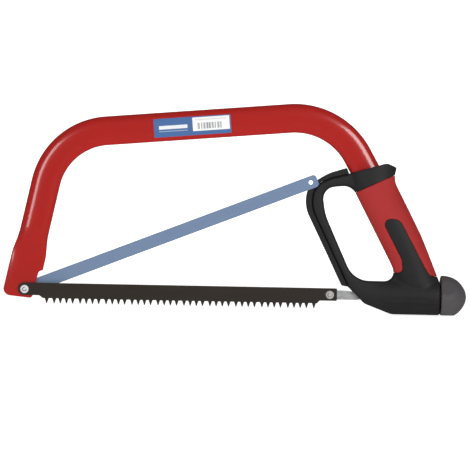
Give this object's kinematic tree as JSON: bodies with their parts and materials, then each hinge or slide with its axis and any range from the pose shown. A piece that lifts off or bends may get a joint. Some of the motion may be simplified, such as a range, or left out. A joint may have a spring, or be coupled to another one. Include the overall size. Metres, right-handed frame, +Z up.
{
  "type": "bow saw",
  "caption": "Bow saw with a bent oval tube, a closed D handle with a soft grip, a coarse wood blade, a stored metal blade and a knob that draws the blade tight.",
  "frame": {"origin": "on the ground under the middle of the saw's bounding box, with the saw upright and its handle's base on the ground", "axes": "+X along the blade from the toe to the knob, -Y to the front side that carries the wood blade, +Z up from the teeth to the bow"},
  "size_m": [0.4546, 0.0404, 0.2051],
  "materials": {
    "red_paint": "gloss",
    "black_nylon": "satin",
    "spring_steel": "satin",
    "label_film": "gloss",
    "bright_steel": "polished",
    "dark_blade_steel": "satin",
    "blue_blade_steel": "satin",
    "galvanised_steel": "dull",
    "knob_plastic": "satin",
    "red_rubber": "matte",
    "black_rubber": "matte",
    "screw_steel": "satin"
  },
  "bodies": {
    "root": {"bow_tube": "red_paint", "tube_plug": "black_nylon", "tube_lock_pin": "spring_steel", "frame_label": "label_film", "front_peg": "bright_steel", "handle_front": "black_nylon", "handle_back": "black_nylon", "soft_grip": "red_rubber", "guard_bumper": "black_rubber", "handle_screws": "screw_steel", "bar_guide": "galvanised_steel", "rod_bush": "black_nylon", "thrust_washer": "bright_steel"},
    "draw_bar": {"draw_bar": "galvanised_steel", "rear_peg": "bright_steel", "tension_rod": "galvanised_steel", "rod_rivet": "bright_steel"},
    "knob": {"knob_body": "knob_plastic", "knob_nut": "bright_steel", "knob_ring": "bright_steel"},
    "wood_blade": {"wood_blade": "dark_blade_steel"},
    "spare_blade": {"spare_blade": "blue_blade_steel"}
  },
  "joints": [
    {"name": "knob_turn", "type": "hinge", "parent": "root", "child": "knob", "pos_m": [0.20853, 0, 0.018], "axis": [1, 0, 0], "range_deg": [0, 360]},
    {"name": "draw_bar_slide", "type": "slide", "parent": "root", "child": "draw_bar", "axis": [-1, 0, 0], "range_m": [0, 0.001]},
    {"name": "wood_blade_off", "type": "slide", "parent": "root", "child": "wood_blade", "axis": [0, -1, 0], "range_m": [0, 0.025]},
    {"name": "spare_blade_swing", "type": "hinge", "parent": "root", "child": "spare_blade", "pos_m": [-0.20647, 0, 0.018], "axis": [0, 1, 0], "range_deg": [-5, 12]}
  ],
  "couplings": [
    {"joint": "knob_turn", "follows": "draw_bar_slide", "rad_per_m": 6283.2}
  ]
}
